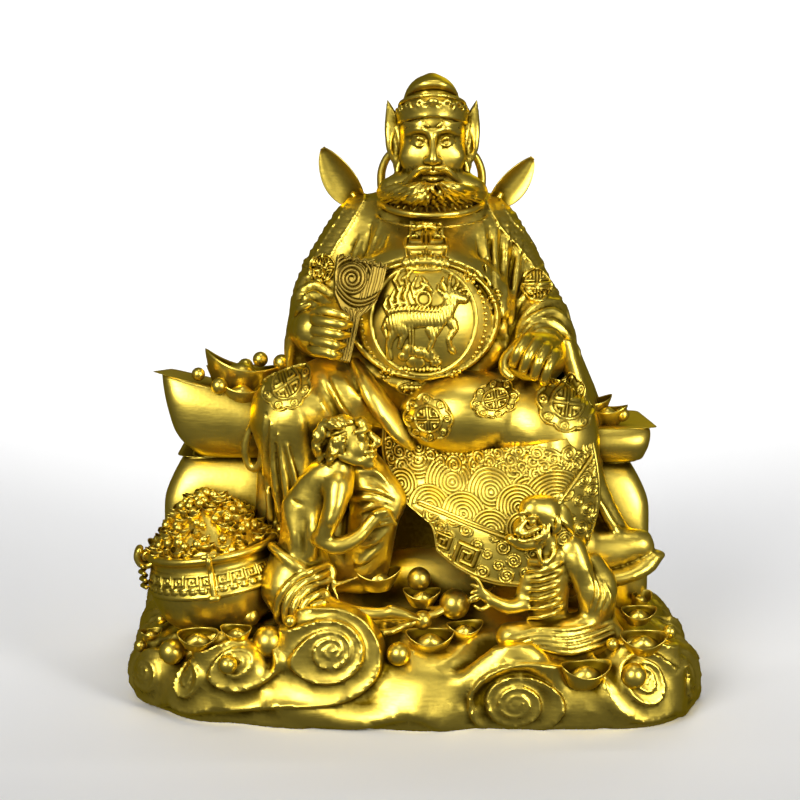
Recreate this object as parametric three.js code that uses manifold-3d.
// A cast brass ornament: a seated guardian in an official's robe, with two small demons, a pot
// of treasure and a seat of two rolls, on a base of curling clouds strewn with ingots and pearls.
// Millimetres. +Z is up, the figure faces -Y, and the origin is under the middle of the base.
import * as THREE from "three";
import { mergeVertices } from "three/addons/utils/BufferGeometryUtils.js";
import Module from "manifold-3d";

const wasm = await Module();
wasm.setup();

// Driving dimensions.
const BASE = { halfWidth: 176, halfDepth: 126, rim: 40, crown: 84, corner: 3, squareCorner: 7 };
const SEAT = { x: -2.5, y: 14, halfWidth: 148.5, halfDepth: 64, corner: 14, floor: 40, waist: 144, top: 165, rise: 33 };
const HEAD = { x: 13, y: -17, z: 336, halfWidth: 22, halfDepth: 24, halfHeight: 27 };
const BELLY = { x: 8, y: -28, z: 230, rx: 57, ry: 53, rz: 56 };
const POT = { x: -118, y: -68, z: 46, radius: 41, height: 54, tilt: 0.13 };
const FAN = { foot: [-40, -91, 214], head: [-29, -74, 272], halfWidth: 15, thickness: 9, gap: 0.5 };
const PART_TOP = 380;
const CASTING_TRIANGLES = 9800;

const at = (x, y, z) => new THREE.Vector3(x, y, z);
const from = (o, x, y, z) => at(o.x + x, o.y + y, o.z + z);
const mix = THREE.MathUtils.lerp;
const TURN = 2 * Math.PI;

// A manifold solid from a geometry, turned right side out.
function solidOf(geometry) {
  const bare = geometry.index ? geometry.toNonIndexed() : geometry.clone();
  bare.deleteAttribute("normal");
  bare.deleteAttribute("uv");
  const merged = mergeVertices(bare, 1e-4);
  const p = merged.attributes.position;
  const corner = (k) => new THREE.Vector3().fromBufferAttribute(p, k);
  const triangles = [];
  let volume = 0;
  for (let i = 0; i < merged.index.count; i += 3) {
    const [a, b, c] = [0, 1, 2].map((k) => merged.index.getX(i + k));
    if (a === b || b === c || c === a) continue;
    triangles.push(a, b, c);
    volume += corner(a).dot(corner(b).cross(corner(c)));
  }
  if (volume < 0) triangles.reverse();
  return new wasm.Manifold(
    new wasm.Mesh({ numProp: 3, vertProperties: p.array, triVerts: new Uint32Array(triangles) }),
  );
}

const joined = (solids) => solids.reduce((whole, one) => whole.add(one));

// A heap that hands out the entry with the least cost first.
class Heap {
  entries = [];
  push(entry) {
    const e = this.entries;
    let i = e.push(entry) - 1;
    for (let up = (i - 1) >> 1; i > 0 && e[up].cost > e[i].cost; up = (i - 1) >> 1) {
      [e[up], e[i]] = [e[i], e[up]];
      i = up;
    }
  }
  pop() {
    const e = this.entries;
    const top = e[0];
    const last = e.pop();
    if (e.length === 0) return top;
    e[0] = last;
    for (let i = 0; ; ) {
      let least = i;
      for (const k of [2 * i + 1, 2 * i + 2]) if (k < e.length && e[k].cost < e[least].cost) least = k;
      if (least === i) return top;
      [e[least], e[i]] = [e[i], e[least]];
      i = least;
    }
  }
}

// A lighter copy of a solid. Edges are closed up one at a time, the least noticeable first, until
// the wanted number of triangles is left. Each corner carries the sum of its planes' squares (ten
// numbers), which tells how far a moved corner strays from the skin that it stood for.
function thinned(solid, wanted) {
  const { vertProperties, triVerts } = solid.getMesh();
  const points = [];
  for (let i = 0; i < vertProperties.length; i += 3) points.push(at(...vertProperties.slice(i, i + 3)));
  const faces = [];
  for (let i = 0; i < triVerts.length; i += 3) faces.push([...triVerts.slice(i, i + 3)]);
  const around = points.map(() => new Set());
  const squares = points.map(() => new Array(10).fill(0));
  const age = points.map(() => 0);
  const crossOf = (a, b, c) => b.clone().sub(a).cross(c.clone().sub(a));
  faces.forEach((face, f) => {
    const cross = crossOf(...face.map((k) => points[k]));
    const area = cross.length() / 2;
    const n = cross.normalize();
    const d = -n.dot(points[face[0]]);
    const plane = [n.x, n.y, n.z, d];
    for (const k of face) {
      around[k].add(f);
      let s = 0;
      for (let i = 0; i < 4; i++) for (let j = i; j < 4; j++) squares[k][s++] += area * plane[i] * plane[j];
    }
  });
  const strayAt = (q, { x, y, z }) =>
    x * (q[0] * x + 2 * (q[1] * y + q[2] * z + q[3])) + y * (q[4] * y + 2 * (q[5] * z + q[6])) + z * (q[7] * z + 2 * q[8]) + q[9];
  const neighbours = (k) => new Set([...around[k]].flatMap((f) => faces[f]).filter((m) => m !== k));
  const heap = new Heap();
  const offer = (a, b) => {
    const q = squares[a].map((value, i) => value + squares[b][i]);
    const choices = [0.5, 0, 1, 0.25, 0.75].map((t) => points[a].clone().lerp(points[b], t));
    const costs = choices.map((p) => strayAt(q, p) + 1e-4 * p.distanceToSquared(points[a]));
    const best = costs.indexOf(Math.min(...costs));
    heap.push({ a, b, q, to: choices[best], cost: costs[best], ages: [age[a], age[b]] });
  };
  const staysSound = (k, other, to) =>
    [...around[k]].every((f) => {
      if (faces[f].includes(other)) return true;
      const before = crossOf(...faces[f].map((m) => points[m]));
      const after = crossOf(...faces[f].map((m) => (m === k ? to : points[m])));
      return after.dot(before) > 0.3 * after.length() * before.length() && after.length() > 1e-3;
    });
  points.forEach((_, a) => neighbours(a).forEach((b) => a < b && offer(a, b)));
  let left = faces.length;
  while (left > wanted && heap.entries.length) {
    const { a, b, q, to, ages } = heap.pop();
    if (ages[0] !== age[a] || ages[1] !== age[b]) continue;
    const shared = [...neighbours(a)].filter((m) => neighbours(b).has(m));
    if (shared.length !== 2 || !staysSound(a, b, to) || !staysSound(b, a, to)) continue;
    for (const f of [...around[b]]) {
      if (faces[f].includes(a)) {
        faces[f].forEach((m) => around[m].delete(f));
        faces[f] = null;
        left--;
      } else {
        faces[f] = faces[f].map((m) => (m === b ? a : m));
        around[a].add(f);
      }
    }
    around[b].clear();
    age[b] = -1;
    age[a]++;
    points[a] = to;
    squares[a] = q;
    for (const m of neighbours(a)) {
      age[m]++;
    }
    for (const m of neighbours(a)) {
      offer(a, m);
      for (const far of neighbours(m)) if (far !== a) offer(m, far);
    }
  }
  const skin = new THREE.BufferGeometry().setFromPoints(points);
  skin.setIndex(faces.filter(Boolean).flat());
  return solidOf(skin);
}

// A closed skin through rings of points, shut at a first and a last point.
function ringSkin(rings, first, last) {
  const n = rings[0].length;
  const points = [first, ...rings.flat(), last];
  const index = [];
  for (let i = 0; i < n; i++) {
    const j = (i + 1) % n;
    index.push(0, 1 + j, 1 + i);
    for (let r = 0; r + 1 < rings.length; r++) {
      const [a, b, c, d] = [1 + r * n + i, 1 + r * n + j, 1 + (r + 1) * n + i, 1 + (r + 1) * n + j];
      index.push(a, b, d, a, d, c);
    }
    const end = 1 + (rings.length - 1) * n;
    index.push(end + i, end + j, points.length - 1);
  }
  const skin = new THREE.BufferGeometry().setFromPoints(points);
  skin.setIndex(index);
  return solidOf(skin);
}

// A round limb carried along a smooth path through points, with a radius at each point.
// flat = [axis, ratio] presses it along an axis; folds = [count, depth, twist] gives it lengthwise folds.
function limb(points, radii, { sides = 8, steps = 6, flat = null, folds = null } = {}) {
  const curve = new THREE.CatmullRomCurve3(points, false, "centripetal");
  const { normals, binormals } = curve.computeFrenetFrames(steps, false);
  const radiusAt = (t) => {
    const s = t * (radii.length - 1);
    const k = Math.min(Math.floor(s), radii.length - 2);
    return mix(radii[k], radii[k + 1], s - k);
  };
  const ring = (i, t, shrink, push) => {
    const middle = curve.getPoint(t).addScaledVector(curve.getTangent(t), push);
    return Array.from({ length: sides }, (_, k) => {
      const a = (k / sides) * TURN;
      const fold = folds ? 1 + folds[1] * t * Math.cos(folds[0] * a + folds[2] * t) : 1;
      const r = radiusAt(t) * shrink * fold;
      const out = normals[i].clone().multiplyScalar(r * Math.cos(a));
      out.addScaledVector(binormals[i], r * Math.sin(a));
      if (flat) out.addScaledVector(flat[0], (flat[1] - 1) * out.dot(flat[0]));
      return out.add(middle);
    });
  };
  const rings = [];
  for (let i = 0; i <= steps; i++) {
    const t = i / steps;
    const end = i === 0 || i === steps;
    rings.push(ring(i, t, end ? 0.75 : 1, 0));
  }
  const start = curve.getPoint(0).addScaledVector(curve.getTangent(0), -0.5 * radii[0]);
  const stop = curve.getPoint(1).addScaledVector(curve.getTangent(1), 0.5 * radii.at(-1));
  return ringSkin(rings, start, stop);
}

// An ellipsoid with its three half sizes, turned by Euler angles.
function blob(centre, [rx, ry, rz], turn = [0, 0, 0], sides = 10, rings = 6) {
  const ball = new THREE.SphereGeometry(1, sides, rings);
  ball.rotateX(Math.PI / 2);
  ball.applyMatrix4(
    new THREE.Matrix4().compose(
      centre,
      new THREE.Quaternion().setFromEuler(new THREE.Euler(...turn)),
      at(rx, ry, rz),
    ),
  );
  return solidOf(ball);
}

const pearl = (x, y, z, r) => blob(at(x, y, z), [r, r, r], [0, 0, 0], 8, 6);

// A closed tube along a closed path.
function hoop(pathAt, radius, steps = 24, sides = 5) {
  const points = Array.from({ length: steps }, (_, i) => pathAt((i / steps) * TURN));
  const curve = new THREE.CatmullRomCurve3(points, true);
  return solidOf(new THREE.TubeGeometry(curve, steps, radius, sides, true));
}

// A sheet of cloth as a closed slab: a smooth skin through a grid of points, and its copy behind.
function sheet(rowsOfPoints, behind, across = 10, down = 6, folds = null) {
  const rows = rowsOfPoints.map((row) => new THREE.CatmullRomCurve3(row.map((p) => at(...p)), false, "centripetal"));
  const front = (u, v) => {
    const column = new THREE.CatmullRomCurve3(rows.map((row) => row.getPoint(u)), false, "centripetal");
    const p = column.getPoint(v);
    if (folds) p.addScaledVector(folds.out, folds.depth * v * Math.cos(folds.count * TURN * u));
    return p;
  };
  const edge = [];
  for (let j = 0; j <= down; j++) {
    const row = [];
    for (let i = 0; i <= across; i++) row.push(front(i / across, j / down));
    for (let i = across; i >= 0; i--) row.push(row[i].clone().add(behind));
    edge.push(row);
  }
  const middleOf = (row) => row.reduce((sum, p) => sum.add(p), at(0, 0, 0)).divideScalar(row.length);
  return ringSkin(edge, middleOf(edge[0]), middleOf(edge.at(-1)));
}

// A curl of cloud: a tapering tube wound inwards, standing on a wall that faces outwards.
// facing is the wall's heading (0 = front), hand is the way that the curl winds.
function volute(centre, facing, radius, turns, hand = 1, start = 0, thick = 0.3) {
  const across = at(Math.cos(facing), Math.sin(facing), 0);
  const out = at(Math.sin(facing), -Math.cos(facing), 0);
  const steps = Math.round(turns * 11);
  const path = [];
  const radii = [];
  for (let i = 0; i <= steps; i++) {
    const t = i / steps;
    const a = start + hand * t * turns * TURN;
    const r = radius * mix(1, 0.16, Math.pow(t, 0.8));
    const p = centre.clone().addScaledVector(across, r * Math.cos(a)).addScaledVector(out, 0.25 * radius * t);
    p.z += r * Math.sin(a);
    path.push(p);
    radii.push(radius * mix(thick, 0.4 * thick, t));
  }
  const curl = limb(path, radii, { sides: 6, steps });
  const eye = blob(centre.clone().addScaledVector(out, 0.22 * radius), [0.24 * radius, 0.24 * radius, 0.24 * radius]);
  const disc = blob(centre, [0.95 * radius, 0.3 * radius, 0.95 * radius], [0, 0, facing]);
  return joined([curl, eye, disc]);
}

// A boat-shaped ingot: an oval bowl with raised ends and a dome in the middle.
function ingot(x, y, z, length, yaw = 0, lean = 0) {
  const [a, b, h] = [length / 2, length * 0.3, length * 0.34];
  const sides = 12;
  const ring = (size, height, rise) =>
    Array.from({ length: sides }, (_, k) => {
      const t = (k / sides) * TURN;
      return at(a * size * Math.cos(t), b * size * Math.sin(t), h * (height + rise * Math.cos(t) ** 2));
    });
  const rings = [ring(0.55, 0, 0), ring(1, 0.5, 0.5), ring(0.82, 0.46, 0.42), ring(0.55, 0.42, 0.05)];
  const turned = new THREE.Euler(lean, 0, yaw, "ZYX");
  const place = (p) => p.applyEuler(turned).add(at(x, y, z));
  rings.flat().forEach(place);
  return ringSkin(rings, place(at(0, 0, 0)), place(at(0, 0, h * 0.85)));
}

// The block of the base: an outline of rounded corners and scallops (squarer at the front right),
// with a bulging wall and a top that rises to a low dome.
function baseBlock() {
  const sides = 48;
  const scallops = 11;
  const pointAt = (k, size, z) => {
    const a = (k / sides) * TURN;
    const [c, s] = [Math.cos(a), Math.sin(a)];
    const square = Math.max(0, 2 * c * -s) ** 2;
    const n = mix(BASE.corner, BASE.squareCorner, square);
    const r = (Math.abs(c / BASE.halfWidth) ** n + Math.abs(s / BASE.halfDepth) ** n) ** (-1 / n);
    const wave = 1 + 0.03 * (Math.abs(Math.sin((scallops / 2) * a + 0.4)) - 0.6);
    return at(r * size * wave * c, r * size * wave * s, z);
  };
  const wall = [[0.99, 0], [1.01, 12], [0.98, 28], [0.91, BASE.rim]];
  const dome = [0.8, 0.62, 0.36].map((size) => [size, mix(BASE.crown, BASE.rim, (size / 0.91) ** 1.7)]);
  const rings = [...wall, ...dome].map(([size, z]) => Array.from({ length: sides }, (_, k) => pointAt(k, size, z)));
  return ringSkin(rings, at(0, 0, 0), at(0, 0, BASE.crown));
}

// Billows that stand proud of the base's wall, and the curls carved on them.
function clouds() {
  const billows = [
    [-152, -58, 14, 24, 24], [-116, -92, 18, 34, 28], [-50, -102, 24, 40, 34], [8, -106, 14, 38, 26],
    [62, -104, 18, 36, 34], [128, -104, 18, 36, 28], [158, -60, 12, 20, 28], [-158, 0, 14, 20, 24],
    [-150, 70, 20, 30, 28], [-70, 96, 22, 40, 30], [20, 100, 20, 40, 28], [100, 90, 20, 38, 30], [152, 36, 12, 22, 25],
  ].map(([x, y, z, r, h]) => blob(at(x, y, z), [r, 26, h], [0, 0, 0], 12, 6));
  const curls = [
    volute(at(-156, -84, 20), -0.5, 15, 1.3, -1, 0.6, 0.36),
    volute(at(-110, -116, 30), -0.15, 20, 1.2, 1, Math.PI, 0.34),
    volute(at(-50, -124, 44), 0, 29, 1.7, 1, Math.PI, 0.26),
    volute(at(57, -128, 20), 0, 19, 1.5, -1, Math.PI, 0.3),
    volute(at(140, -122, 25), 0.15, 19, 1.4, -1, 0.3, 0.3),
    volute(at(168, -20, 19), 1.45, 17, 1.4, 1, 0, 0.32),
    volute(at(-170, 20, 20), -1.5, 17, 1.4, -1, 0, 0.32),
    volute(at(-70, 116, 32), Math.PI, 26, 1.5, 1, 0, 0.3),
    volute(at(60, 118, 30), Math.PI, 26, 1.5, -1, 0, 0.3),
  ];
  const crest = limb(
    [at(-22, -124, 16), at(14, -126, 24), at(46, -126, 44), at(76, -124, 44), at(94, -124, 22), at(86, -124, 4)],
    [5, 8, 9, 10, 9, 7],
    { sides: 6, steps: 14 },
  );
  const ribs = [0, 1].map((k) =>
    limb([at(160 - 8 * k, -66 - 12 * k, 40), at(171 - 6 * k, -74 - 14 * k, 24), at(168 - 6 * k, -80 - 14 * k, 4)], [5, 7, 6], { sides: 6 }),
  );
  return joined([...billows, ...curls, crest, ...ribs]);
}

// Ingots and pearls that lie on the base, and the heap of them between the demons.
function strewnTreasure() {
  const heap = blob(at(0, -82, 48), [40, 20, 26], [0, 0.15, 0], 12, 6);
  const ingots = [
    [-128, -101, 38, 25, 0.3, 0.3], [-104, -99, 43, 19, -0.2, 0.2], [11, -102, 42, 31, 0, 0.25],
    [32, -97, 46, 24, 0.2, 0.25], [-19, -76, 66, 30, 0.1, 0.2], [7, -84, 60, 24, -0.2, -0.1],
    [102, -114, 28, 32, 0.35, 0.35], [134, -89, 38, 30, 0, 0.3], [134, -66, 48, 24, 0.2, 0.3],
    [142, -42, 42, 24, -0.6, 0], [-158, -58, 36, 18, 0.2, 0.2], [-134, 60, 42, 26, 0.9, 0], [112, 74, 46, 28, -0.4, 0],
  ].map((one) => ingot(...one));
  const pearls = [
    [-84, -106, 47, 10], [-97, -93, 55, 6], [-148, -82, 33, 8.5], [-168, -60, 34, 4.5], [-9, -107, 40, 7.5],
    [5, -79, 79, 7.5], [26, -89, 65, 9.5], [7, -96, 57, 6.5], [126, -104, 42, 8], [149, -88, 36, 5],
    [160, -54, 36, 4.5], [152, -28, 41, 6], [-112, 78, 50, 8], [60, 88, 52, 8],
  ].map((one) => pearl(...one));
  return joined([heap, ...ingots, ...pearls]);
}

// The seat: a bolster over a drum, two rolls that lie along X with their ends cut off. The bolster
// flares out at the figure's right; its top rises to the right and falls away to the back.
function seat() {
  const sides = 32;
  const power = 2 / SEAT.corner;
  const waistAt = (x) => SEAT.waist - 0.013 * x;
  const topAt = (x, y) => {
    const rise = SEAT.rise * THREE.MathUtils.clamp(-x / 150, 0, 1.1) ** 1.2;
    return SEAT.top + rise - (0.11 - 0.0002 * x) * (y + 44);
  };
  const roll = (profile, lowAt, highAt) => {
    const rings = profile.map(([right, left, deep, share]) =>
      Array.from({ length: sides }, (_, k) => {
        const a = ((k + 0.5) / sides) * TURN;
        const [c, s] = [Math.cos(a), Math.sin(a)];
        const wide = Math.sign(c) * Math.abs(c) ** power;
        const long = Math.sign(s) * Math.abs(s) ** power;
        const x = SEAT.x + SEAT.halfWidth * wide * mix(right, left, 0.5 + 0.5 * wide);
        const y = SEAT.y + SEAT.halfDepth * long * deep;
        return at(x, y, mix(lowAt(x, y), highAt(x, y), share));
      }),
    );
    const middle = (heightAt) => at(SEAT.x, SEAT.y, heightAt(SEAT.x, SEAT.y));
    return ringSkin(rings, middle(lowAt), middle(highAt));
  };
  const drum = [[0.98, 0.98, 0.9, 0], [1, 1, 0.94, 0.06], [1, 1, 1, 0.45], [1, 1, 0.985, 0.7], [0.975, 0.975, 0.93, 0.85], [0.91, 0.91, 0.82, 1]];
  const bolster = [
    [0.85, 0.92, 0.84, 0], [0.9, 0.97, 0.92, 0.13], [0.95, 0.985, 0.985, 0.36], [0.975, 0.995, 1, 0.56], [0.99, 1, 0.98, 0.8], [1, 1, 0.94, 0.96],
    [0.985, 0.98, 0.915, 1],
  ];
  return joined([
    roll(drum, () => SEAT.floor, waistAt),
    roll(bolster, (x) => waistAt(x) - 1, topAt),
  ]);
}

// The ingots and pearls that lie on the seat beside the figure.
function seatTreasure() {
  return joined([
    ingot(-106, -25, 188, 50, 0.1, 0.15),
    ingot(-104, -41, 183, 32, 0.1, 0.3),
    pearl(-127, -29, 199, 4.5),
    pearl(-94, -29, 199, 6),
    pearl(-81, -29, 200, 6.5),
    ingot(112, -15, 168, 30, 0.3, 0.1),
    ingot(124, -22, 165, 26, -0.2, 0.1),
  ]);
}

// The treasure pot: a round cauldron with a flared rim, ears and straps, heaped with ingots.
function treasurePot() {
  const { radius: r, height: h } = POT;
  const profile = [[0, 0], [0.5, 0], [0.62, 0.05], [0.9, 0.3], [1, 0.52], [0.98, 0.66], [0.9, 0.86], [0.98, 0.98], [0.94, 1.03], [0, 1.03]];
  const turnedProfile = profile.map(([s, z]) => new THREE.Vector2(s * r, z * h));
  const bowl = new THREE.LatheGeometry(turnedProfile, 22).rotateX(Math.PI / 2);
  const pieces = [solidOf(bowl)];
  const band = new THREE.TorusGeometry(0.99 * r, 1.8, 5, 22).translate(0, 0, 0.6 * h);
  pieces.push(solidOf(band));
  const heap = [0.9, 0.82, 0.62, 0.34].map((size, i) =>
    Array.from({ length: 22 }, (_, k) => {
      const a = (k / 22) * TURN;
      const bump = 1 + 0.06 * Math.cos(7 * a + 2.1 * i);
      return at(r * size * bump * Math.cos(a), r * size * bump * Math.sin(a), h * (0.98 + 0.2 * i + 0.03 * Math.sin(5 * a + i)));
    }),
  );
  pieces.push(ringSkin(heap, at(0, 0, h), at(0, 0, h * 1.68)));
  for (let k = 0; k < 10; k++) {
    const a = (k / 10) * TURN + 0.2;
    const [c, s] = [Math.cos(a), Math.sin(a)];
    pieces.push(blob(at(0.74 * r * c, 0.74 * r * s, 1.16 * h), [6, 6, 5], [0, 0, a], 6, 4));
    if (k % 2) pieces.push(blob(at(0.45 * r * c, 0.45 * r * s, 1.42 * h), [6, 6, 5], [0, 0, a], 6, 4));
  }
  for (const side of [-1, 1]) {
    const ear = [at(0.86, 0, 1.06), at(1.02, 0, 1.06), at(1.04, 0, 0.86), at(0.94, 0, 0.76)];
    pieces.push(limb(ear.map((p) => at(side * p.x * r, 0, p.z * h)), [4, 5, 5, 4], { sides: 6, steps: 5 }));
  }
  for (const a of [-1.75, -0.4, -2.9]) {
    const strap = [[1, 1.02], [1.02, 0.85], [1.03, 0.62]];
    pieces.push(limb(strap.map(([s, z]) => at(s * r * Math.cos(a), s * r * Math.sin(a), z * h)), [2.5, 2.5, 3], { sides: 5, steps: 3 }));
  }
  return joined(pieces).rotate([8, (POT.tilt * -180) / Math.PI, 0]).translate([POT.x, POT.y, POT.z]);
}

// A point on the front of the belly, given as offsets from its middle.
function onBelly(x, z, lift = 0) {
  const rest = Math.max(0, 1 - (x / BELLY.rx) ** 2 - (z / BELLY.rz) ** 2);
  return from(BELLY, x, -BELLY.ry * Math.sqrt(rest) - lift, z);
}

// The trunk, with the belly's panel and the hoop of the belt round it.
function trunk() {
  const body = [
    blob(at(14, -4, 266), [56, 38, 42], [0.1, 0, 0], 16, 9),
    blob(at(BELLY.x, BELLY.y, BELLY.z), [BELLY.rx, BELLY.ry, BELLY.rz], [0, 0, 0], 20, 12),
    blob(at(12, 12, 240), [62, 32, 66], [0, 0, 0], 14, 8),
    blob(at(10, -2, 184), [76, 50, 30], [0, 0, 0], 16, 8),
    blob(at(13, 4, 292), [40, 26, 20], [0, 0, 0], 14, 6),
  ];
  const rim = hoop((a) => onBelly(33 * Math.cos(a) + 1, 36 * Math.sin(a), 0.4), 2, 22);
  const belt = hoop((a) => onBelly(47 * Math.cos(a), 41 * Math.sin(a), 1), 3.4, 24);
  const collar = hoop((a) => at(15.5 + 30 * Math.cos(a), -12 + 30 * Math.sin(a), 300 + 5 * Math.sin(a)), 3, 18);
  return joined([...body, rim, belt, collar, unicornRelief()]);
}

// The unicorn in low relief on the belly: body, neck, head, antlers, tail, legs and a wisp of cloud.
function unicornRelief() {
  const stroke = (pairs, radii) =>
    limb(pairs.map(([x, z]) => onBelly(x, z, 0.5)), radii, { sides: 5, steps: pairs.length + 1 });
  return joined([
    stroke([[-14, 2], [-2, 0], [10, 3]], [7, 6, 6]),
    stroke([[10, 4], [15, 12], [17, 17]], [6, 4, 4]),
    stroke([[14, 17], [20, 16], [25, 13]], [4.5, 4, 2.5]),
    stroke([[14, 19], [11, 26], [16, 29]], [1.6, 1.6, 1]),
    stroke([[-18, 4], [-24, 12], [-19, 24], [-12, 30]], [2, 3.5, 4.5, 2]),
    stroke([[-15, -2], [-21, -12], [-25, -22]], [4, 2.2, 1.8]),
    stroke([[-11, -4], [-15, -12], [-12, -20]], [3.6, 2, 1.6]),
    stroke([[5, -2], [2, -11], [0, -18]], [3.4, 2, 1.6]),
    stroke([[12, -1], [19, -5], [17, -15]], [3.4, 2, 1.6]),
    stroke([[-14, -27], [-4, -24], [5, -28]], [3, 4, 3]),
  ]);
}

// A raised roundel with a scalloped edge, lying on cloth that faces along normal.
function roundel(centre, normal, radius, lobes = 6) {
  const outline = new THREE.Shape();
  const count = lobes * 4;
  for (let k = 0; k <= count; k++) {
    const a = (k / count) * TURN;
    const r = radius * (1 - 0.07 * Math.cos(lobes * a));
    if (k === 0) outline.moveTo(r, 0);
    else outline.lineTo(r * Math.cos(a), r * Math.sin(a));
  }
  const disc = new THREE.ExtrudeGeometry(outline, { depth: 6, bevelEnabled: false }).translate(0, 0, -4.5);
  const boss = new THREE.CylinderGeometry(0.6 * radius, 0.66 * radius, 6, 16).rotateX(Math.PI / 2);
  const turn = new THREE.Quaternion().setFromUnitVectors(at(0, 0, 1), normal.normalize());
  const placed = (g) => solidOf(g.applyQuaternion(turn).translate(centre.x, centre.y, centre.z));
  return placed(disc).add(placed(boss));
}

// A closed fist: a palm, four bent fingers and a thumb. along is the forearm's direction,
// across runs over the knuckles from the first finger to the last.
function fist(wrist, along, across, size) {
  const down = along.clone().cross(across).normalize();
  const point = (a, b, c) =>
    wrist.clone().addScaledVector(along, a * size).addScaledVector(across, b * size).addScaledVector(down, c * size);
  const fingers = [-1.5, -0.5, 0.5, 1.5].map((k) =>
    limb(
      [point(0.8, k * 0.42, -0.35), point(1.55, k * 0.42, -0.3), point(1.6, k * 0.4, 0.35), point(0.9, k * 0.4, 0.5)],
      [0.28, 0.27, 0.25, 0.22].map((r) => r * size),
      { sides: 6, steps: 6 },
    ),
  );
  const thumb = limb(
    [point(0.3, -0.75, 0.1), point(0.9, -1, 0.4), point(1.5, -0.5, 0.75)],
    [0.34, 0.28, 0.22].map((r) => r * size),
    { sides: 6, steps: 5 },
  );
  const core = blob(point(0.95, 0, 0.1), [0.9 * size, 0.9 * size, 0.95 * size], [0, 0, 0], 10, 7);
  const palm = limb([point(-0.4, 0, 0), point(0.4, 0, 0), point(1.1, 0, 0)], [0.62, 0.8, 0.75].map((r) => r * size));
  return joined([palm, core, ...fingers, thumb]);
}

// Both arms in wide sleeves, with rings of folds above the wrists.
function arms() {
  const right = [at(-27, 4, 280), at(-45, -6, 250), at(-53, -34, 229), at(-48, -66, 227)];
  const left = [at(50, 2, 278), at(69, -8, 244), at(80, -36, 216), at(76, -66, 212)];
  const pieces = [
    limb(right, [25, 25, 22, 14], { sides: 12, steps: 8 }),
    limb(left, [25, 25, 23, 15], { sides: 12, steps: 8 }),
  ];
  const cuffs = (path, size) => {
    const curve = new THREE.CatmullRomCurve3(path);
    return [0.62, 0.74, 0.86].map((t, i) => {
      const ring = new THREE.TorusGeometry(size - 2.2 * i, 3.6, 5, 12);
      const turn = new THREE.Quaternion().setFromUnitVectors(at(0, 0, 1), curve.getTangent(t));
      const p = curve.getPoint(t);
      return solidOf(ring.applyQuaternion(turn).translate(p.x, p.y, p.z));
    });
  };
  pieces.push(...cuffs(right, 20), ...cuffs(left, 21.5));
  pieces.push(blob(at(-59, -76, 231), [12, 14, 13]), blob(at(72, -76, 216), [14, 14, 11]));
  pieces.push(fist(at(-54, -76, 228), at(0.45, -0.88, -0.05).normalize(), at(0.1, 0, -1).normalize(), 10.5));
  pieces.push(fist(at(74, -72, 216), at(-0.3, -0.88, -0.32).normalize(), at(0.9, -0.42, 0.05).normalize(), 11));
  return joined(pieces);
}

// The legs under the robe, and the boot that shows on the figure's left.
function legs() {
  const rightThigh = [at(-8, -6, 176), at(-46, -50, 184), at(-72, -68, 176)];
  const rightShin = [at(-72, -66, 174), at(-62, -70, 128), at(-44, -60, 84)];
  const leftThigh = [at(28, -10, 172), at(66, -58, 172), at(88, -70, 160)];
  const leftShin = [at(88, -70, 156), at(88, -60, 112), at(92, -52, 78)];
  return joined([
    limb(rightThigh, [32, 28, 24], { sides: 12, steps: 6 }),
    limb(rightShin, [25, 22, 20], { sides: 12, steps: 6 }),
    limb(leftThigh, [34, 32, 27], { sides: 12, steps: 6 }),
    limb(leftShin, [26, 24, 20], { sides: 12, steps: 6 }),
    limb([at(84, -46, 84), at(112, -60, 82), at(143, -64, 90)], [19, 15, 8], { sides: 10, steps: 6 }),
    limb([at(86, -54, 72), at(116, -66, 72), at(147, -68, 86)], [13, 12, 9], { sides: 8, steps: 6, flat: [at(0, 0, 1), 0.45] }),
  ]);
}

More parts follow.
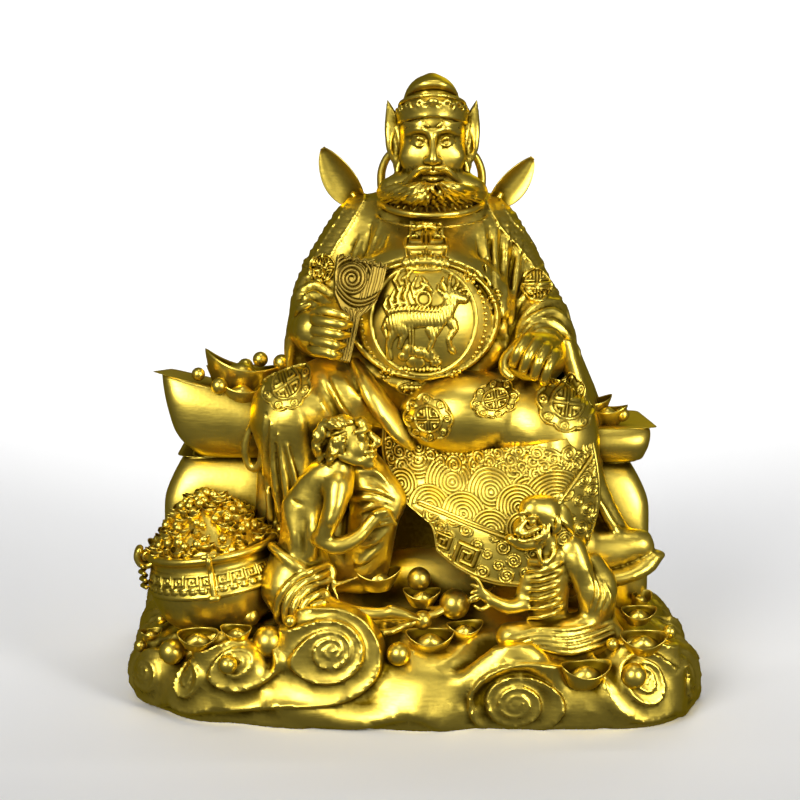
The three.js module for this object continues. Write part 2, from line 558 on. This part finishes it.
// The embroidered apron over the left leg, the cloth under the belly and the robe's hanging skirts.
function robe() {
  const apron = sheet(
    [
      [[-18, -54, 168], [6, -68, 162], [32, -80, 157], [54, -90, 160], [82, -96, 166], [108, -78, 170]],
      [[-18, -66, 154], [8, -78, 148], [34, -90, 143], [58, -98, 145], [84, -102, 150], [111, -84, 154]],
      [[-13, -76, 141], [14, -87, 133], [38, -98, 128], [62, -104, 130], [86, -105, 136], [113, -86, 140]],
      [[-4, -84, 128], [20, -94, 120], [42, -103, 114], [66, -107, 114], [90, -105, 120], [113, -86, 127]],
      [[11, -90, 117], [28, -98, 107], [48, -106, 99], [70, -108, 97], [92, -104, 105], [110, -86, 114]],
      [[15, -93, 100], [30, -100, 90], [50, -106, 83], [72, -106, 82], [92, -101, 91], [106, -87, 105]],
    ],
    at(-4, 22, 4),
    14,
    9,
  );
  const lap = blob(at(33, -60, 178), [40, 32, 27], [0, 0, 0], 16, 10);
  const gathers = [
    limb([at(-36, -74, 152), at(-22, -80, 134), at(-22, -78, 112)], [15, 15, 14], { sides: 10, steps: 6 }),
    limb([at(-20, -82, 142), at(-10, -84, 130), at(-20, -84, 116)], [8, 7.5, 8], { sides: 8, steps: 6 }),
    limb([at(104, -54, 150), at(118, -56, 118), at(132, -54, 96)], [9, 9, 7], { sides: 8, steps: 6 }),
    limb([at(70, -40, 96), at(100, -46, 92), at(118, -48, 88)], [20, 19, 15], { sides: 10, steps: 6 }),
  ];
  const hem = limb([at(-34, -64, 206), at(-20, -74, 188), at(-8, -74, 170), at(-4, -70, 158)], [6, 8, 8, 6], { sides: 6, steps: 7 });
  const rightSkirt = sheet(
    [
      [[-96, -44, 176], [-82, -60, 168], [-60, -70, 160]],
      [[-92, -50, 120], [-76, -70, 112], [-52, -78, 108]],
      [[-86, -56, 64], [-64, -80, 58], [-30, -84, 64]],
    ],
    at(20, 40, 0),
    14,
    5,
    { out: at(-0.4, -0.9, 0), depth: 5, count: 3 },
  );
  const leftSkirt = sheet(
    [
      [[94, -54, 222], [107, -28, 214], [105, 2, 212]],
      [[112, -60, 166], [126, -32, 158], [126, 4, 154]],
      [[117, -60, 118], [132, -38, 100], [130, 0, 106]],
    ],
    at(-26, 18, 0),
    10,
    5,
    { out: at(0.9, -0.3, 0), depth: 4, count: 2 },
  );
  const back = limb([at(12, 30, 282), at(12, 48, 220), at(12, 62, 172)], [36, 52, 66], {
    sides: 18,
    steps: 6,
    flat: [at(0, 1, 0), 0.5],
    folds: [7, 0.08, 0],
  });
  const ribbon = limb([at(-84, -40, 186), at(-95, -52, 160), at(-99, -56, 140), at(-88, -58, 142), at(-80, -54, 176)], [4, 5, 6, 5, 4], { sides: 6, steps: 9 });
  const hangingSleeve = limb([at(-54, -14, 236), at(-62, -14, 210), at(-62, -10, 184)], [18, 17, 14], { sides: 10, steps: 5, folds: [4, 0.12, 0] });
  const ridge = (points, radius) => limb(points.map((p) => at(...p)), [0.5 * radius, radius, radius, 0.6 * radius], { sides: 5, steps: 6 });
  const ridges = [
    ridge([[-62, -93, 172], [-36, -80, 176], [-18, -62, 172]], 5),
    ridge([[-88, -84, 170], [-90, -74, 130], [-84, -74, 92]], 6),
    ridge([[-72, -93, 166], [-70, -88, 130], [-60, -88, 100]], 5),
    ridge([[-52, -88, 158], [-44, -84, 130], [-34, -84, 104]], 5),
    ridge([[62, -16, 274], [84, -26, 244], [94, -46, 222]], 4.5),
    ridge([[44, -28, 284], [66, -34, 250], [74, -52, 226]], 4),
    ridge([[-36, -12, 286], [-60, -22, 256], [-66, -44, 234]], 4),
    ridge([[15, -94, 100], [50, -107, 84], [92, -102, 91], [106, -88, 105]], 2.6),
    ridge([[-18, -67, 154], [-8, -82, 134], [12, -92, 116]], 2.6),
    ridge([[6, -72, 162], [34, -86, 158], [60, -94, 161], [84, -98, 167]], 3),
  ];
  const roundels = [
    roundel(at(-75, -85, 189), at(-0.2, -0.75, 0.5), 15),
    roundel(at(14, -88, 180), at(0.05, -0.95, 0.2), 14),
    roundel(at(54, -82, 191), at(0.1, -0.6, 0.6), 13),
    roundel(at(90, -84, 181), at(0.3, -0.6, 0.6), 18),
    roundel(at(88, -36, 246), at(0.6, -0.75, 0.3), 11, 4),
    roundel(at(-66, -38, 250), at(-0.55, -0.75, 0.3), 11, 4),
    roundel(at(10, -57, 276), at(0, -0.9, 0.35), 12, 4),
  ];
  const knees = [blob(at(-72, -68, 174), [26, 25, 26], [0, 0, 0], 12, 8), blob(at(86, -68, 164), [28, 26, 26], [0, 0, 0], 12, 8)];
  return joined([...knees, ...gathers, apron, lap, hem, rightSkirt, leftSkirt, back, ribbon, hangingSleeve, ...ridges, ...roundels]);
}

// The head: face, pointed ears, moustache, a wide beard of locks, and the cap with its two wings.
function head() {
  const p = (x, y, z) => from(HEAD, x, y, z);
  const { halfWidth: w, halfDepth: d, halfHeight: h } = HEAD;
  const pieces = [
    blob(p(0, 0, 0), [w, d, h], [0, 0, 0], 16, 10),
    blob(p(0, -4, -10), [w * 0.86, d * 0.84, 18], [0, 0, 0], 12, 8),
    limb([p(-17, -16, 4), p(-8, -23, 5), p(0, -23, 4), p(8, -23, 5), p(17, -16, 4)], [2, 3, 2.4, 3, 2], { sides: 5, steps: 8 }),
    limb([p(0, -22, 4), p(0, -27, -3), p(0, -29, -8)], [2, 3, 4.2], { sides: 6, steps: 4 }),
    blob(p(-9, -21.5, -1), [4, 3, 3], [0, 0, 0], 8, 5),
    blob(p(9, -21.5, -1), [4, 3, 3], [0, 0, 0], 8, 5),
    blob(p(0, 2, 20), [w * 1.08, d * 1.08, 9], [-0.12, 0, 0], 16, 6),
    blob(p(0, 6, 28), [w * 0.92, d * 0.86, PART_TOP - HEAD.z - 28], [0, 0, 0], 16, 8),
    limb([p(-17, -8, 27), p(0, -17, 34), p(17, -8, 27)], [3, 4, 3], { sides: 5, steps: 5 }),
    blob(p(0, 10, -14), [20, 18, 26], [0, 0, 0], 12, 7),
  ];
  for (const side of [-1, 1]) {
    pieces.push(
      limb([p(side * 20, 2, -16), p(side * 24, 1, -2), p(side * 27, 5, 12), p(side * 28.5, 8, 25)], [4, 7, 6, 1], {
        sides: 7,
        steps: 7,
        flat: [at(side * 0.7, 0.7, 0), 0.45],
      }),
      limb([p(side * 2, -26, -12), p(side * 9, -27, -15), p(side * 16, -22, -24)], [2.6, 3.4, 1.4], { sides: 6, steps: 5 }),
    );
  }
  const locks = 11;
  for (let k = 0; k < locks; k++) {
    const a = mix(-1.45, 1.45, k / (locks - 1));
    const [s, c] = [Math.sin(a), Math.cos(a)];
    const long = k % 2 ? 1 : 0.9;
    pieces.push(
      limb(
        [p(13 * s, -19, -15 - 4 * c), p(24 * s, -24, -18 - 9 * c), p(36 * s * long, -25 + 8 * Math.abs(s), -19 - 17 * c * long)],
        [6, 7, 2.2],
        { sides: 6, steps: 4 },
      ),
    );
  }
  return joined([...pieces, ...capWings(p)]);
}

// The cap's wings: curved stems from behind the ears, each ending in a hollow leaf that leans out.
function capWings(p) {
  const leaf = (side) => {
    const foot = p(side > 0 ? 36 : -43, 20, -38);
    const tip = p(side > 0 ? 63 : -68, 22, side > 0 ? -8 : -2);
    const width = side > 0 ? 11 : 12.8;
    const axis = tip.clone().sub(foot);
    const across = at(side * 0.55, -0.83, 0).cross(axis).normalize();
    const hollow = axis.clone().cross(across).normalize().multiplyScalar(side);
    const rings = [0.08, 0.3, 0.55, 0.78, 0.94].map((t) => {
      const half = width * Math.sin(Math.PI * t ** 0.85) ** 0.65;
      return Array.from({ length: 8 }, (_, k) => {
        const a = (k / 8) * TURN;
        const w = Math.cos(a);
        const middle = foot.clone().addScaledVector(axis, t).addScaledVector(across, half * w);
        return middle.addScaledVector(hollow, 1.5 * Math.sin(a) + 5 * w * w * (half / width));
      });
    });
    return ringSkin(rings, foot, tip);
  };
  const stem = (side) =>
    limb(
      [p(side * 16, 16, -6), p(side * 31, 19, -8), p(side * 35, 20, -22), p(side * 32, 20, -37), p(side > 0 ? 39 : -45, 20, -35)],
      [3, 3, 3.2, 3.6, 3],
      { sides: 6, steps: 9 },
    );
  return [-1, 1].flatMap((side) => [leaf(side), stem(side)]);
}

// The demon that kneels at the right leg, seen from its back, with its face lifted.
function kneelingDemon() {
  return joined([
    limb([at(-66, -84, 92), at(-62, -88, 116), at(-48, -90, 142)], [15, 16, 15], { sides: 10, steps: 6 }),
    blob(at(-36, -95, 168), [11, 13, 13], [0, 0.4, 0], 10, 7),
    limb([at(-44, -94, 178), at(-50, -96, 166), at(-44, -96, 154)], [5, 6, 4], { sides: 6, steps: 5 }),
    blob(at(-25, -97, 162), [4, 4, 5], [0, 0, 0], 7, 5),
    blob(at(-27, -99, 171), [3, 3, 3], [0, 0, 0], 7, 5),
    limb([at(-44, -92, 150), at(-40, -93, 158)], [8, 8], { sides: 7, steps: 2 }),
    limb([at(-38, -98, 142), at(-42, -104, 126), at(-50, -104, 112)], [8, 7, 6], { sides: 7, steps: 5 }),
    limb([at(-50, -104, 112), at(-34, -104, 110), at(-22, -98, 121)], [6.5, 6, 4], { sides: 7, steps: 4 }),
    limb([at(-66, -84, 96), at(-78, -90, 78), at(-66, -96, 60)], [17, 17, 15], { sides: 10, steps: 5, folds: [5, 0.1, 0] }),
    limb([at(-66, -98, 68), at(-44, -100, 64), at(-22, -100, 64), at(-4, -100, 67)], [13, 9, 6, 4], { sides: 8, steps: 7 }),
    hoop((a) => at(-68 + 17 * Math.cos(a), -86 + 16 * Math.sin(a), 95 + 7 * Math.cos(a)), 2.4, 14),
  ]);
}

// The demon that squats at the left leg, with bare ribs, looking up.
function squattingDemon() {
  const ribs = [0, 1, 2, 3].map((k) => {
    const z = 68 + 7 * k;
    return limb([at(68, -110, z - 2), at(79, -117.5, z), at(91, -110, z + 4)], [1.8, 2.2, 1.8], { sides: 5, steps: 4 });
  });
  return joined([
    limb([at(80, -100, 52), at(79, -104, 76), at(79, -104, 100)], [13, 14, 12], { sides: 10, steps: 6 }),
    limb([at(78, -104, 100), at(77, -106, 116)], [7, 7], { sides: 7, steps: 2 }),
    blob(at(76, -108, 126), [12, 12, 12], [0, 0, 0], 10, 7),
    blob(at(66, -114, 117), [8, 6, 5], [0, 0.4, 0], 8, 5),
    blob(at(66, -118, 127), [3.4, 4, 3.4], [0, 0, 0], 7, 5),
    limb([at(82, -106, 128), at(86, -104, 133), at(88, -102, 138)], [3, 3, 1], { sides: 5, steps: 3 }),
    limb([at(94, -100, 108), at(102, -99, 96), at(106, -99, 84), at(108, -99, 70)], [7, 8, 6, 5], { sides: 7, steps: 6 }),
    limb([at(108, -99, 70), at(102, -107, 60), at(88, -111, 58)], [5.5, 5, 3.5], { sides: 6, steps: 4 }),
    limb([at(66, -104, 82), at(56, -108, 70), at(48, -110, 74), at(40, -110, 82)], [5, 4, 3.5, 3.5], { sides: 6, steps: 5 }),
    limb([at(110, -92, 52), at(84, -108, 50), at(58, -110, 52)], [13, 12, 9], { sides: 9, steps: 6 }),
    limb([at(60, -106, 46), at(90, -108, 44), at(118, -96, 46)], [8, 10, 9], { sides: 8, steps: 5 }),
    ...ribs,
  ]);
}

// The folded fan: a pleated wedge that stands in the right fist. grow widens it for clearance.
function fan(grow = 0) {
  const outline = new THREE.Shape();
  const [w, pleats] = [FAN.halfWidth + grow, 7];
  const foot = at(...FAN.foot);
  const axis = at(...FAN.head).sub(foot);
  const long = axis.length();
  outline.moveTo(-3.5 - grow, -grow);
  outline.lineTo(3.5 + grow, -grow);
  outline.lineTo(5 + grow, 0.45 * long);
  outline.lineTo(w, 0.62 * long);
  for (let k = pleats; k >= 0; k--) outline.lineTo(mix(-w, w, k / pleats), long + grow + (k % 2 ? 0 : 1.6));
  outline.lineTo(-w, 0.62 * long);
  outline.lineTo(-5 - grow, 0.45 * long);
  const thick = FAN.thickness * 0.6 + 2 * grow;
  const slab = new THREE.ExtrudeGeometry(outline, { depth: thick, bevelEnabled: false }).translate(0, 0, -thick / 2);
  const side = at(1, 0.25, 0).addScaledVector(axis, -at(1, 0.25, 0).dot(axis) / axis.lengthSq()).normalize();
  const up = axis.clone().normalize();
  const basis = new THREE.Matrix4().makeBasis(side, up, side.clone().cross(up)).setPosition(foot);
  return solidOf(slab.applyMatrix4(basis));
}

// A three.js mesh of a manifold solid.
function meshOf(name, solid, colour, roughness) {
  const { numProp, vertProperties, triVerts } = solid.getMesh();
  const geometry = new THREE.BufferGeometry();
  geometry.setAttribute("position", new THREE.BufferAttribute(vertProperties, numProp));
  geometry.setIndex(new THREE.BufferAttribute(triVerts, 1));
  const finish = new THREE.MeshStandardMaterial({ color: colour, roughness, metalness: 1 });
  const mesh = new THREE.Mesh(geometry, finish);
  mesh.name = name;
  return mesh;
}

// Everything that is cast in one, cut off flat underneath and opened where the fan is held.
const under = solidOf(new THREE.BoxGeometry(600, 500, 100).translate(0, 0, -50));
const carved = joined([
  baseBlock(), clouds(), strewnTreasure(), seat(), seatTreasure(), treasurePot(),
  trunk(), legs(), robe(), arms(), head(), kneelingDemon(), squattingDemon(),
]);
const casting = thinned(carved, CASTING_TRIANGLES).subtract(under).subtract(fan(FAN.gap));

const ornament = new THREE.Group();
ornament.add(meshOf("figure_casting", casting, 0xc9a227, 0.32));
ornament.add(meshOf("folded_fan", fan(), 0x6b4e16, 0.4));

export default ornament;
